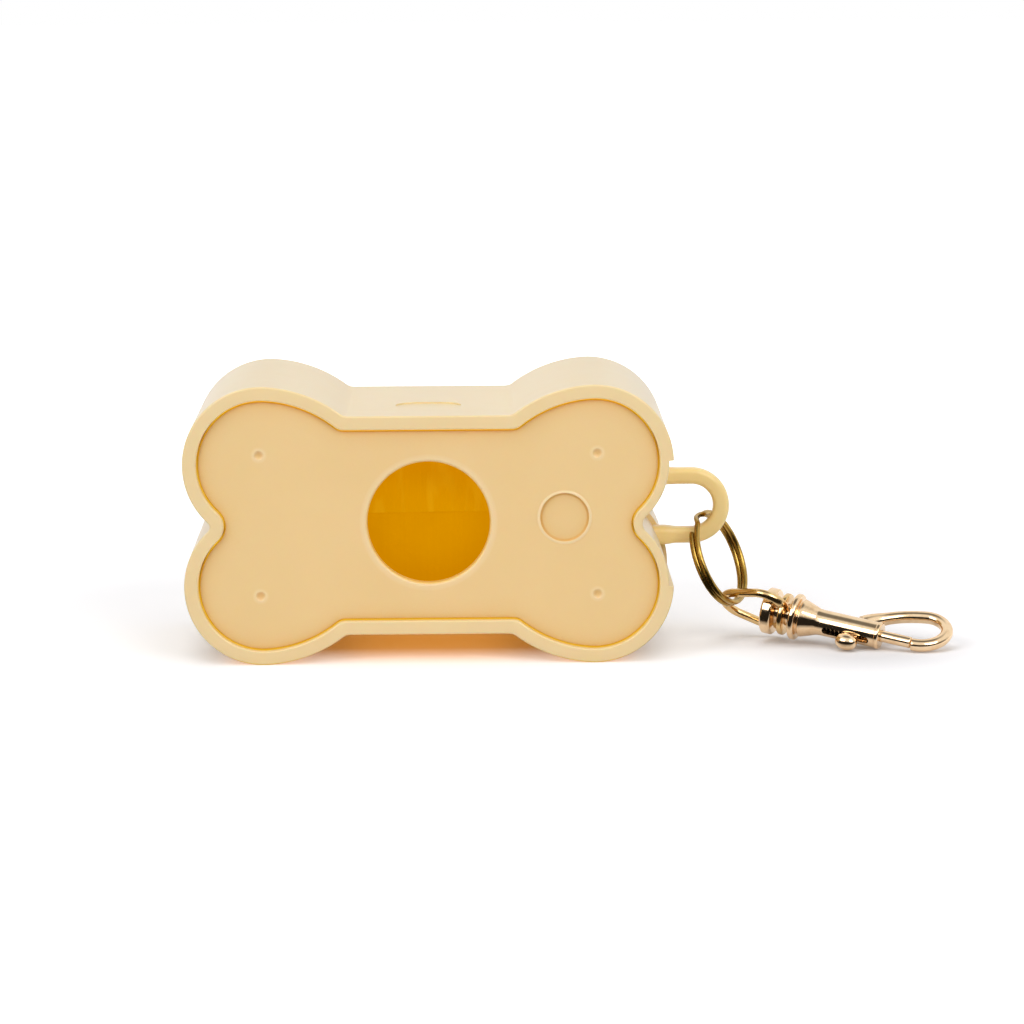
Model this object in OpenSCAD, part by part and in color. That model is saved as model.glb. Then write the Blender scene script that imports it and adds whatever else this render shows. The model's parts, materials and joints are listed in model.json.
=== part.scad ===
// Bone-shaped pocket dispenser for a roll of pet waste bags, with a carry loop,
// a split ring and a swivel snap. Millimetres, +Z up, front faces -Y.
// Origin: centre of the flat back face.

/* [Case] */
// Overall width of the bone outline
body_w = 88; // [84:0.5:96]
// Overall height of the bone outline
body_h = 50.5; // [49:0.5:54]
// Depth of the case, back face to front rim
body_d = 42; // [41:0.5:52]
// Radius of each of the four lobes
lobe_r = 14.2; // [13.4:0.1:14.8]
// Radius of the flatter crown that runs from a lobe towards the grip
crown_r = 25; // [22:0.5:28]
// Height of the straight grip between the lobes
grip_h = 39.7; // [38.6:0.1:41]
// Rounding where a crown meets the grip
grip_fillet = 5.4; // [3:0.1:7]
// Rounding at the bottom of the notch in each side
notch_fillet = 1; // [0.6:0.1:1.6]
// Thickness of the side walls
wall_t = 2.5; // [2:0.1:2.7]
// Thickness of the back wall
back_t = 2.5; // [2:0.1:3]
// Depth of the shallow pad around the loop's foot
relief_t = 0.85; // [0.4:0.05:1]
// Height of that pad
relief_h = 22.8; // [20:0.2:25]
// Length of that pad from the front rim
relief_l = 23.7; // [23.2:0.1:26]
// Length of the shallow oblong on the top face
oblong_l = 12; // [9:0.5:16]
// Width of that oblong
oblong_w = 8; // [6:0.5:8.5]
// Depth of that oblong
oblong_t = 0.3; // [0.2:0.05:0.5]
// Distance of that oblong from the front rim
oblong_y = 14.5; // [12:0.5:24]

/* [Front panel] */
// Thickness of the front panel
panel_t = 2.2; // [1.8:0.1:2.5]
// How far the panel sits behind the rim
panel_recess = 1; // [0.5:0.1:1.2]
// Gap between the panel's edge and the rim
panel_gap = 0.25; // [0.15:0.05:0.4]
// Diameter of the hole that the bags are pulled through
mouth_d = 22; // [18:0.5:24]
// Height of the mouth's centre above the middle of the case
mouth_z = 0.4; // [0:0.1:1]
// Rounding of the mouth's outer lip
mouth_lip = 0.6; // [0.3:0.1:0.8]
// Diameter of the round bare recess beside the mouth
badge_d = 8.6; // [7:0.2:10]
// Distance of that recess from the middle
badge_x = 24.4; // [22:0.2:25]
// Height of that recess above the middle
badge_z = 1.2; // [0:0.1:2]
// Depth of that recess
badge_t = 0.4; // [0.2:0.05:0.7]
// Diameter of the four dimples
dimple_d = 1.5; // [1:0.1:2]
// Depth of the four dimples
dimple_t = 0.35; // [0.2:0.05:0.6]
// Half the distance between the posts, across
post_x = 30.3; // [29.8:0.1:31]
// Half the distance between the posts, up and down
post_z = 12.8; // [12:0.1:13.2]
// Diameter of a post's pin
pin_d = 3.9; // [3:0.1:4.2]
// Length of a post's pin
pin_l = 9; // [6:0.5:10]
// Diameter of a post's shoulder and of its socket
socket_d = 6; // [5.6:0.1:6.2]
// Length of the sockets on the back wall
socket_l = 14; // [12:0.5:16]
// Radial clearance of a pin in its socket
pin_fit = 0.06; // [0.03:0.01:0.1]
// Gap between a shoulder and its socket
seat_gap = 0.1; // [0.05:0.05:0.3]

/* [Roll of bags] */
// Outer diameter of the wound roll
roll_d = 31.2; // [26:0.2:32]
// Length of the roll
roll_l = 54; // [48:0.5:54]
// Outer diameter of the paper core
core_d = 14; // [12:0.5:18]
// Wall of the paper core
core_t = 0.8; // [0.5:0.1:1.5]
// Thickness of the loose leading bag
tail_t = 0.3; // [0.2:0.05:0.4]
// Angle of the leading bag's free edge above the roll's front
tail_edge = 13; // [5:1:30]
// Angle over which the leading bag wraps the roll
tail_wrap = 170; // [120:5:200]
// Gap between the roll and what it touches
film_gap = 0.05; // [0.03:0.01:0.1]
// Gap between the turning roll and the floor of the case
roll_gap = 0.3; // [0.2:0.05:0.5]

/* [Carry loop] */
// How far the loop stands out from the side of the case
loop_reach = 11.3; // [10:0.1:13]
// Outer radius of the loop's bend
loop_r = 7; // [6.6:0.1:7.4]
// Thickness of the loop in the plane of its bend
loop_h = 3; // [2.8:0.1:3.2]
// Thickness of the loop from front to back
loop_t = 3.4; // [3.2:0.1:3.6]
// Diameter that rounds the loop's four edges
loop_round = 3.7; // [3.5:0.05:3.8]
// Clearance of the loop's arms in the wall
loop_fit = 0.02; // [0.02:0.01:0.05]

/* [Split ring] */
// Diameter of the ring at the middle of its wire
ring_d = 17.4; // [16.4:0.1:18]
// Diameter of the ring's wire
ring_wire = 1.2; // [1:0.05:1.3]
// Gap between the ring's two turns
ring_turn_gap = 0.03; // [0.02:0.01:0.08]
// Slack of the ring on the loop that carries it
ring_gap = 0.5; // [0.4:0.05:0.6]
// Where the ring hangs on the loop's bend, below level
ring_station = 60; // [50:1:70]
// Lean of the hanging ring, away from the case
ring_lean = 24.2; // [15:0.2:30]
// Turn of the ring about its hanging line
ring_turn = 24; // [15:1:35]

/* [Swivel snap] */
// Turn of the snap towards the front
snap_turn = 22.8; // [15:0.2:30]
// Dip of the snap towards the floor
snap_dip = 8.8; // [6:0.2:12]
// Diameter of the wire of the eye
eye_wire = 1.6; // [1.5:0.1:1.8]
// Length of the eye from the middle of the end button to its round end
eye_l = 9.3; // [9:0.1:9.8]
// Width of the eye between the middles of its arms
eye_w = 11.2; // [11:0.1:12]
// Radius of the eye's round end
eye_end_r = 4.1; // [3.8:0.1:4.4]
// Spread of each of the eye's arms
eye_spread = 23; // [20:1:26]
// Roll of the eye about the snap's axis
eye_roll = 49; // [40:1:60]
// Gap between the eye and the ring
eye_gap = 0.35; // [0.2:0.05:0.4]
// How far the eye rests to one side on the ring
eye_side = 0.5; // [0:0.1:0.8]
// How far round the ring the eye hangs, forward of the ring's foot
eye_slip = 6.7; // [4:0.1:9]
// Diameter of the eye's collar
collar_d = 7.8; // [7.4:0.1:8.2]
// Thickness of the eye's collar
collar_t = 1; // [0.8:0.1:1.2]
// Diameter of the end button
button_d = 8.6; // [8:0.1:8.8]
// Thickness of the end button
button_t = 2.1; // [1.8:0.1:2.3]
// Diameter of the neck that the collar turns on
neck_d = 3.8; // [3.6:0.1:4]
// Length of the neck
neck_l = 3.3; // [3.2:0.05:3.6]
// Length of the stud's shank in the barrel
shank_l = 2; // [1.6:0.1:2.2]
// Radial clearance of the turning collar and of the sliding bolt
turn_fit = 0.06; // [0.04:0.01:0.1]
// Clearance of pressed pieces
press_fit = 0.02; // [0.02:0.01:0.04]
// Diameter of the base flange
flange_d = 8.6; // [8:0.1:8.8]
// Thickness of the base flange
flange_t = 1.2; // [1:0.1:1.4]
// Diameter of the groove behind the flange
groove_d = 6; // [5.6:0.1:6.4]
// Width of that groove
groove_l = 0.5; // [0.4:0.1:0.7]
// Largest diameter of the cone
cone_d = 7; // [6.6:0.1:7.2]
// Length of the cone
cone_l = 3.3; // [3:0.1:3.6]
// Outer diameter of the barrel
barrel_d = 4.8; // [4.6:0.1:5]
// Length of the barrel up to its rim
barrel_l = 11.2; // [10.8:0.1:11.6]
// Bore of the barrel
bore_d = 3.2; // [3:0.1:3.4]
// Diameter of the rim at the barrel's mouth
rim_d = 5; // [4.9:0.1:5.2]
// Length of the rim
rim_l = 0.8; // [0.6:0.1:1]
// Diameter of the sliding bolt
bolt_d = 2.1; // [1.9:0.1:2.2]
// How far the bolt slides back
bolt_travel = 4.5; // [3.5:0.1:4.6]
// Length of the bolt's guided head
bolt_head_l = 2.4; // [2:0.1:2.6]
// Gap between the bolt's tip and the hook's tip
bolt_gap = 0.15; // [0.1:0.05:0.3]
// Where the knob stands on the barrel, from the cone's end
knob_at = 6.6; // [6.3:0.1:6.8]
// Length of the oval thumb knob
knob_l = 4.1; // [3.8:0.1:4.2]
// Width and height of the thumb knob
knob_d = 3; // [2.8:0.1:3.1]
// Gap between the knob and the barrel
knob_gap = 0.15; // [0.15:0.05:0.3]
// Diameter of the knob's stem
stem_d = 1.1; // [0.9:0.1:1.2]
// Diameter of the hook's wire
hook_wire = 2.3; // [2.1:0.1:2.4]
// Radius of the bend behind the hook's tip
hook_tip_r = 4.9; // [4.7:0.1:5.1]
// Radius of the hook's end bend
hook_end_r = 4.1; // [3.9:0.1:4.3]
// Radius of the hook's long back
hook_back_r = 18.3; // [17:0.1:19.5]
// Length from the barrel's mouth to the hook's tip
hook_gate_l = 6; // [5.8:0.1:6.2]
// Drop of the hook's tip below the bolt's axis
hook_drop = 0.4; // [0.2:0.1:0.5]
// Roll of the hook and the knob about the snap's axis
hook_roll = 23.5; // [20:0.5:30]
// Diameter of the spring's wire
spring_wire = 0.35; // [0.3:0.05:0.35]
// Number of turns of the spring
spring_turns = 10; // [8:1:10]

/* [Hidden] */
$fn = 64;
cut = 1;               // overshoot of a cutting tool
edge = 0.25;           // small edge break on turned metal
arc_step = 5;          // angle between the points of the bone's arcs
wire_step = 8;         // angle between the points of a bent wire
wire_sides = 16;       // sides of a bent wire

// bone outline
lobe_x = body_w / 2 - lobe_r;
lobe_z = body_h / 2 - lobe_r;
grip_z = grip_h / 2;
crown_join = 94;       // direction in which a lobe hands over to its crown
notch_c = [lobe_x + sqrt(pow(lobe_r + notch_fillet, 2) - lobe_z * lobe_z), 0];
notch_x = notch_c[0] - notch_fillet;

// depths along Y: the back face is 0 and the rim is at -body_d
rim_y = -body_d;
panel_y = rim_y + panel_recess;
panel_back_y = panel_y + panel_t;
socket_y = -back_t - socket_l;
relief_y = rim_y + relief_l;

// roll of bags
roll_r = roll_d / 2;
tail_r = roll_r + film_gap + tail_t;
roll_y = (panel_back_y - back_t) / 2;
roll_z = -grip_z + wall_t + roll_gap + tail_r;

// carry loop
loop_mid_r = loop_r - loop_h / 2;
loop_x = body_w / 2 + loop_reach - loop_r;
loop_y = -body_d / 2;
loop_root_x = notch_x - wall_t - 1;

// split ring, hung on the loop's bend
ring_r = ring_d / 2;
ring_pitch = ring_wire + ring_turn_gap;
ring_seam = 215;       // where the wire begins, round from the foot
ring_drop = loop_round / 2 + ring_gap + ring_wire / 2;
hang_x = loop_x + loop_mid_r * cos(ring_station);
hang_z = -loop_mid_r * sin(ring_station);
ring_down = [sin(ring_lean), 0, -cos(ring_lean)];
ring_pos = [hang_x, loop_y, hang_z] + (ring_r - ring_drop) * ring_down;
ring_along = [
    sin(ring_turn) * cos(ring_lean),
    cos(ring_turn),
    sin(ring_turn) * sin(ring_lean)
];
ring_link = ring_pos + ring_r * (cos(eye_slip) * ring_down - sin(eye_slip) * ring_along);

// swivel snap, stations along its axis measured from the middle of the stud's button
snap_dir = [
    cos(snap_dip) * cos(snap_turn),
    -cos(snap_dip) * sin(snap_turn),
    -sin(snap_dip)
];
neck_u = button_t / 2;
flange_u = neck_u + neck_l;
groove_u = flange_u + flange_t;
cone_u = groove_u + groove_l;
barrel_u = cone_u + cone_l;
rim_u = barrel_u + barrel_l;
mouth_u = rim_u + rim_l;
tip_u = mouth_u + hook_gate_l;
collar_u = neck_u + (neck_l - collar_t) / 2;
shank_u = flange_u + shank_l;
knob_u = barrel_u + knob_at;
slot_w = stem_d + 0.3;
slot_rear_u = knob_u - bolt_travel - stem_d / 2 - 0.25;
slot_front_u = rim_u - 0.9;
head_u = knob_u - bolt_head_l / 2;

// eye: round end, two spread arms, two bends that bring them into the collar
eye_knee_q = eye_w / 2;
eye_arm_start = eye_end_r * [-sin(eye_spread), cos(eye_spread)];
eye_arm_l = (eye_knee_q - eye_arm_start[1]) / sin(eye_spread);
eye_end_u = eye_end_r - eye_l;
eye_knee_u = eye_end_u + eye_arm_start[0] + eye_arm_l * cos(eye_spread);
eye_bend_r = (collar_u + collar_t / 2 - eye_knee_u) / (1 + sin(eye_spread));
eye_bend = [eye_knee_u, eye_knee_q] + eye_bend_r * [sin(eye_spread), -cos(eye_spread)];
eye_side_dir = [
    -sin(eye_roll) * sin(snap_turn) + cos(eye_roll) * sin(snap_dip) * cos(snap_turn),
    -sin(eye_roll) * cos(snap_turn) - cos(eye_roll) * sin(snap_dip) * sin(snap_turn),
    cos(eye_roll) * cos(snap_dip)
];
eye_seat = eye_wire / 2 + eye_gap + (ring_pitch + ring_wire) / 2;
snap_pos = ring_link + (eye_l - eye_seat) * snap_dir - eye_side * eye_side_dir;

// hook: tip bend, end bend, long back whose root runs into the barrel's side
hook_join = -4;        // direction in which the tip bend hands over to the end bend
hook_turn = 103;       // direction in which the end bend hands over to the back
hook_root = 141;       // direction in which the back ends inside the barrel's wall
hook_tip_c = [tip_u, hook_tip_r - hook_drop];
hook_end_c = hook_tip_c + (hook_tip_r - hook_end_r) * [cos(hook_join), sin(hook_join)];
hook_back_c = hook_end_c + (hook_end_r - hook_back_r) * [cos(hook_turn), sin(hook_turn)];
hook_blend = 1.3;      // widening of the hook's wire at its root

// points of an arc about c from angle a0 to a1
function arc(c, r, a0, a1, step = arc_step) =
    let (n = max(2, ceil(abs(a1 - a0) / step)))
    [for (i = [0:n]) let (a = a0 + (a1 - a0) * i / n) c + r * [cos(a), sin(a)]];

// upper right quarter of the bone, from the grip to the notch, set in by inset
function bone_quarter(inset) =
    let (
        lobe_c = [lobe_x, lobe_z],
        crown_c = lobe_c + (lobe_r - crown_r) * [cos(crown_join), sin(crown_join)],
        rise = grip_z + grip_fillet - crown_c[1],
        run = sqrt(pow(crown_r + grip_fillet, 2) - rise * rise),
        fillet_c = [crown_c[0] - run, grip_z + grip_fillet],
        turn_a = atan2(rise, -run),
        flank_a = atan2(-lobe_z, notch_c[0] - lobe_x)
    )
    concat(
        arc(fillet_c, grip_fillet + inset, -90, turn_a - 180),
        arc(crown_c, crown_r - inset, turn_a, crown_join),
        arc(lobe_c, lobe_r - inset, crown_join, flank_a),
        arc(notch_c, notch_fillet + inset, flank_a + 180, 180)
    );

function flipped(pts, sx, sz) = [for (p = pts) [p[0] * sx, p[1] * sz]];
function rest(pts) = [for (i = [1:len(pts) - 1]) pts[i]];
function backwards(pts) = [for (i = [len(pts) - 1:-1:0]) pts[i]];

module bone_2d(inset) {
    q = bone_quarter(inset);
    polygon(concat(
        q,
        backwards(flipped(q, 1, -1)),
        flipped(q, -1, -1),
        backwards(flipped(q, -1, 1))
    ));
}

// bone-shaped block from y0 to y1
module bone_block(inset, y0, y1) {
    translate([0, y1, 0])
        rotate([90, 0, 0])
            linear_extrude(height = y1 - y0)
                bone_2d(inset);
}

// round bar along Y from y0 to y1
module bar_y(r, y0, y1) {
    translate([0, y1, 0])
        rotate([90, 0, 0])
            cylinder(r = r, h = y1 - y0);
}

module at_posts() {
    for (sx = [-1, 1])
        for (sz = [-1, 1])
            translate([sx * post_x, 0, sz * post_z])
                children();
}

// flat-faced loop section with rounded edges
module loop_section(grow) {
    intersection() {
        circle(d = loop_round + 2 * grow);
        square([loop_h + 2 * grow, loop_t + 2 * grow], center = true);
    }
}

module loop_arms(grow) {
    for (sz = [-1, 1])
        translate([loop_root_x, loop_y, sz * loop_mid_r])
            rotate([0, 90, 0])
                linear_extrude(height = loop_x - loop_root_x)
                    loop_section(grow);
}

// closed skin over a row of rings of points
module skin(pts, rings, sides) {
    flanks = [
        for (i = [0:rings - 2])
            for (k = [0:sides - 1]) let (n = (k + 1) % sides)
                [i * sides + k, (i + 1) * sides + k, (i + 1) * sides + n, i * sides + n]
    ];
    start = [for (k = [0:sides - 1]) k];
    end = [for (k = [sides - 1:-1:0]) (rings - 1) * sides + k];
    polyhedron(points = pts, faces = concat(flanks, [start, end]), convexity = 6);
}

// round wire of a split ring: two flat turns side by side, joined by a short slope
module ring_wire_turns(r, d, pitch, sides) {
    last = 685;            // angle at which the second turn ends
    slope_a = 325;         // where the wire leaves the first turn
    slope_b = 350;         // where it reaches the second
    n = 92;
    pts = [
        for (i = [0:n]) let (
            t = last * i / n,
            f = min(1, max(0, (t - slope_a) / (slope_b - slope_a))),
            side = pitch * (f * f * (3 - 2 * f) - 0.5)
        )
            for (k = [0:sides - 1]) let (
                out = r + sin(360 * k / sides) * d / 2,
                up = side + cos(360 * k / sides) * d / 2
            )
            [out * cos(t), out * sin(t), up]
    ];
    skin(pts, n + 1, sides);
}

// round wire wound as a helix of radius r about +Z
module helix(r, d, pitch, turns, sides, per_turn) {
    slope = atan2(pitch, 2 * PI * r);
    pts = [
        for (i = [0:turns * per_turn]) let (t = 360 * i / per_turn)
            for (k = [0:sides - 1]) let (
                a = 360 * k / sides,
                out = sin(a) * d / 2,
                up = cos(a) * d / 2
            )
            [
                (r + out) * cos(t) + up * sin(slope) * sin(t),
                (r + out) * sin(t) - up * sin(slope) * cos(t),
                pitch * i / per_turn + up * cos(slope)
            ]
    ];
    skin(pts, turns * per_turn + 1, sides);
}

// round wire along a flat path in the XY plane, with a radius for each point
module wire(path, radii, sides) {
    n = len(path);
    pts = [
        for (i = [0:n - 1]) let (
            run = path[min(n - 1, i + 1)] - path[max(0, i - 1)],
            head = run / norm(run)
        )
            for (k = [0:sides - 1]) let (
                out = cos(360 * k / sides) * radii[i],
                up = sin(360 * k / sides) * radii[i]
            )
            [path[i][0] - head[1] * out, path[i][1] + head[0] * out, up]
    ];
    skin(pts, n, sides);
}

// turned shape about the snap's axis, from [radius, station] points
module turned(pts) {
    rotate([0, 90, 0])
        rotate_extrude()
            polygon(pts);
}

module rod(r, u0, u1) {
    translate([u0, 0, 0])
        rotate([0, 90, 0])
            cylinder(r = r, h = u1 - u0);
}

module at_snap(roll) {
    translate(snap_pos)
        rotate([0, snap_dip, -snap_turn])
            rotate([roll, 0, 0])
                children();
}

module case() {
    color("navajowhite")
        difference() {
            union() {
                difference() {
                    bone_block(0, rim_y, 0);
                    bone_block(wall_t, rim_y - cut, -back_t);
                }
                at_posts()
                    bar_y(socket_d / 2, socket_y, -back_t / 2);
            }
            at_posts()
                bar_y(pin_d / 2 + pin_fit, socket_y - cut, socket_y + pin_l + 1);
            loop_arms(loop_fit);
            loop_pad_cut();
            top_oblong_cut();
        }
}

// shallow pad in the side wall where the loop stands
module loop_pad_cut() {
    difference() {
        translate([lobe_x, rim_y - cut, -relief_h / 2])
            cube([body_w, relief_l + cut, relief_h]);
        bone_block(relief_t, rim_y - 2 * cut, 0);
    }
}

// shallow oblong with round ends in the top face
module top_oblong_cut() {
    translate([0, rim_y + oblong_y, grip_z - oblong_t]) {
        translate([-(oblong_l - oblong_w) / 2, -oblong_w / 2, 0])
            cube([oblong_l - oblong_w, oblong_w, oblong_t + cut]);
        for (sx = [-1, 1])
            translate([sx * (oblong_l - oblong_w) / 2, 0, 0])
                cylinder(d = oblong_w, h = oblong_t + cut);
    }
}

module carry_loop() {
    color("navajowhite")
        difference() {
            union() {
                loop_arms(0);
                translate([loop_x, loop_y, 0])
                    rotate([90, 0, 0])
                        rotate([0, 0, -90])
                            rotate_extrude(angle = 180)
                                translate([loop_mid_r, 0])
                                    loop_section(0);
            }
            bone_block(wall_t, rim_y, 0);
        }
}

// ring of material to cut away so that the mouth's lip is round
module mouth_cut() {
    r = mouth_d / 2;
    translate([0, panel_y, mouth_z])
        rotate([-90, 0, 0]) {
            translate([0, 0, -cut])
                cylinder(r = r, h = panel_t + 2 * cut);
            rotate_extrude()
                difference() {
                    translate([r - mouth_lip, -mouth_lip])
                        square([2 * mouth_lip, 2 * mouth_lip]);
                    translate([r + mouth_lip, mouth_lip])
                        circle(r = mouth_lip);
                }
        }
}

module front_panel() {
    color("burlywood")
        difference() {
            union() {
                bone_block(wall_t + panel_gap, panel_y, panel_back_y);
                at_posts() {
                    bar_y(socket_d / 2, panel_back_y - panel_t / 2, socket_y - seat_gap);
                    bar_y(pin_d / 2, socket_y - 2, socket_y - seat_gap + pin_l);
                }
            }
            mouth_cut();
            translate([badge_x, 0, badge_z])
                bar_y(badge_d / 2, panel_y - cut, panel_y + badge_t);
            at_posts()
                bar_y(dimple_d / 2, panel_y - cut, panel_y + dimple_t);
        }
}

module at_roll() {
    translate([0, roll_y, roll_z])
        rotate([0, 90, 0])
            children();
}

module roll_core() {
    color("tan")
        at_roll()
            difference() {
                cylinder(d = core_d, h = roll_l, center = true);
                cylinder(d = core_d - 2 * core_t, h = roll_l + cut, center = true);
            }
}

module bag_roll() {
    color("orange")
        at_roll()
            difference() {
                cylinder(r = roll_r, h = roll_l, center = true, $fn = 96);
                cylinder(d = core_d + 2 * film_gap, h = roll_l + cut, center = true);
            }
}

// last wrap of film; its free edge lies on the front of the roll
module leading_bag() {
    color("gold")
        at_roll()
            rotate([0, 0, -90 - tail_edge - tail_wrap])
                rotate_extrude(angle = tail_wrap, $fn = 96)
                    translate([roll_r + film_gap, -roll_l / 2])
                        square([tail_t, roll_l]);
}

module split_ring() {
    color("darkgoldenrod")
        translate(ring_pos)
            rotate([0, -ring_lean, 0])
                rotate([0, 0, -ring_turn])
                    rotate([0, 90, 0])
                        rotate([0, 0, ring_seam])
                            ring_wire_turns(ring_r, ring_wire, ring_pitch, 14);
}

module swivel_eye() {
    bend = arc(eye_bend, eye_bend_r, 0, 90 + eye_spread, wire_step);
    path = concat(
        bend,
        arc([eye_end_u, 0], eye_end_r, 90 + eye_spread, 270 - eye_spread, wire_step),
        backwards(flipped(bend, 1, -1))
    );
    color("goldenrod")
        at_snap(eye_roll)
            difference() {
                union() {
                    rod(collar_d / 2, collar_u, collar_u + collar_t);
                    rotate([90, 0, 0])
                        wire(path, [for (p = path) eye_wire / 2], wire_sides);
                }
                rod(neck_d / 2 + turn_fit, collar_u - cut, collar_u + collar_t + cut);
            }
}

// button and neck that the collar turns on, with a shank pressed into the barrel
module swivel_stud() {
    color("goldenrod")
        at_snap(0)
            turned([
                [0, -neck_u],
                [button_d / 2 - edge, -neck_u],
                [button_d / 2, -neck_u + edge],
                [button_d / 2, neck_u - edge],
                [button_d / 2 - edge, neck_u],
                [neck_d / 2, neck_u],
                [neck_d / 2, flange_u],
                [bore_d / 2 - press_fit, flange_u],
                [bore_d / 2 - press_fit, shank_u],
                [0, shank_u]
            ]);
}

// flange, cone, barrel and hook, cast in one
module snap_body() {
    path = concat(
        arc(hook_back_c, hook_back_r, hook_root, hook_turn, 3),
        rest(arc(hook_end_c, hook_end_r, hook_turn, hook_join, wire_step)),
        rest(arc(hook_tip_c, hook_tip_r, hook_join, -90, wire_step))
    );
    last = len(path) - 1;
    radii = [
        for (i = [0:last])
            hook_wire / 2 * (i == last ? 0.85 : max(1, hook_blend - i * 0.06))
    ];
    color("goldenrod")
        at_snap(hook_roll)
            difference() {
                union() {
                    turned([
                        [0, flange_u],
                        [flange_d / 2 - edge, flange_u],
                        [flange_d / 2, flange_u + edge],
                        [flange_d / 2, groove_u - edge],
                        [flange_d / 2 - edge, groove_u],
                        [groove_d / 2, groove_u],
                        [groove_d / 2, cone_u],
                        [cone_d / 2, cone_u],
                        [barrel_d / 2, barrel_u],
                        [barrel_d / 2, rim_u],
                        [rim_d / 2, rim_u + (rim_d - barrel_d) / 2],
                        [rim_d / 2, mouth_u - edge],
                        [rim_d / 2 - edge, mouth_u],
                        [0, mouth_u]
                    ]);
                    wire(path, radii, wire_sides);
                }
                rod(bore_d / 2, flange_u - cut, rim_u);
                rod(bolt_d / 2 + turn_fit, rim_u - cut, mouth_u + cut);
                translate([slot_rear_u, -barrel_d, -slot_w / 2])
                    cube([slot_front_u - slot_rear_u, barrel_d, slot_w]);
            }
}

module snap_bolt() {
    color("goldenrod")
        at_snap(hook_roll)
            difference() {
                turned([
                    [0, head_u - 1],
                    [0.6, head_u - 1],
                    [0.6, head_u],
                    [bore_d / 2 - turn_fit, head_u],
                    [bore_d / 2 - turn_fit, head_u + bolt_head_l],
                    [bolt_d / 2, head_u + bolt_head_l],
                    [bolt_d / 2, tip_u - bolt_gap - edge],
                    [bolt_d / 2 - edge, tip_u - bolt_gap],
                    [0, tip_u - bolt_gap]
                ]);
                translate([knob_u, 0, 0])
                    rotate([90, 0, 0])
                        cylinder(d = stem_d + 2 * press_fit, h = bore_d);
            }
}

// oval knob on a stem that is pressed into the bolt
module thumb_knob() {
    knob_c = (barrel_d + knob_d) / 2 + knob_gap;
    color("goldenrod")
        at_snap(hook_roll)
            translate([knob_u, 0, 0]) {
                translate([0, -knob_c, 0])
                    turned([
                        for (a = [-90:7.5:90])
                            [knob_d / 2 * cos(a), knob_l / 2 * sin(a)]
                    ]);
                rotate([90, 0, 0])
                    translate([0, 0, press_fit])
                        cylinder(d = stem_d, h = knob_c - press_fit);
            }
}

module bolt_spring() {
    spring_l = head_u - shank_u - spring_wire - 0.1;
    color("silver")
        at_snap(0)
            translate([shank_u + spring_wire / 2 + 0.05, 0, 0])
                rotate([0, 90, 0])
                    helix(bore_d / 2 - spring_wire / 2 - 0.15, spring_wire,
                        spring_l / spring_turns, spring_turns, 6, 16);
}

case();
carry_loop();
front_panel();
roll_core();
bag_roll();
leading_bag();
split_ring();
swivel_eye();
swivel_stud();
snap_body();
snap_bolt();
thumb_knob();
bolt_spring();
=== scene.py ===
import json
import math

import bmesh
import bpy
from mathutils import Matrix, Vector

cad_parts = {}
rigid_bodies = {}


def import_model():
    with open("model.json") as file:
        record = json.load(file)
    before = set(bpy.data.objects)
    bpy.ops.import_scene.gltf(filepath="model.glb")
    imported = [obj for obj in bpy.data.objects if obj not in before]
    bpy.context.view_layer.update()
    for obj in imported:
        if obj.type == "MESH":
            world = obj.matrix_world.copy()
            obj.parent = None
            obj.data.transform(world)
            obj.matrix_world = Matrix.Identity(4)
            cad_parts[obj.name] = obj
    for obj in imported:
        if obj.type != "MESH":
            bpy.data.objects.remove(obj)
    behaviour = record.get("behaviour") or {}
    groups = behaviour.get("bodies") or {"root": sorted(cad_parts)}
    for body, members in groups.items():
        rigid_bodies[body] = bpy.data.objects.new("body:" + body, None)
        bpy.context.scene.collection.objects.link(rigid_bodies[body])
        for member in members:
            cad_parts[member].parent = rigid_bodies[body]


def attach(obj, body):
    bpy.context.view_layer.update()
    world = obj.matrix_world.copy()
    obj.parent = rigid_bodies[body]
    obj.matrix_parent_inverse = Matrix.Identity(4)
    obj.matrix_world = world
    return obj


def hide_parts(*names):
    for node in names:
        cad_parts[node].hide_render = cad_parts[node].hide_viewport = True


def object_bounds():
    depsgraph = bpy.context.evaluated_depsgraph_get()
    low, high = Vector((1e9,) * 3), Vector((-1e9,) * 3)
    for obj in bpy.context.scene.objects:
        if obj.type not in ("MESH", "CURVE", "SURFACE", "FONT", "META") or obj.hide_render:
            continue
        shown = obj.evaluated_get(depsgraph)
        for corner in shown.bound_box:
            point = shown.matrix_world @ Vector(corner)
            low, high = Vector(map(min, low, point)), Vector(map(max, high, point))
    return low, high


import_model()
cad_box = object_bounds()
MM = 0.001


def sin(a):
    return math.sin(math.radians(a))


def cos(a):
    return math.cos(math.radians(a))


def link(name, data):
    obj = bpy.data.objects.new(name, data)
    bpy.context.scene.collection.objects.link(obj)
    return obj


# ---------------------------------------------------------------- camera
# Fitted to the photograph: position and sensor in millimetres, angles in radians, focal length
# and picture width in pixels.
CAM = (6.14266, -722.556, 114.99215)
YAW, PITCH, ROLL, FOCAL = 0.0129299, -0.1639591, 0.0058108, 3852.609
SENSOR, PICTURE = 36.0, 1024.0


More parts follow.
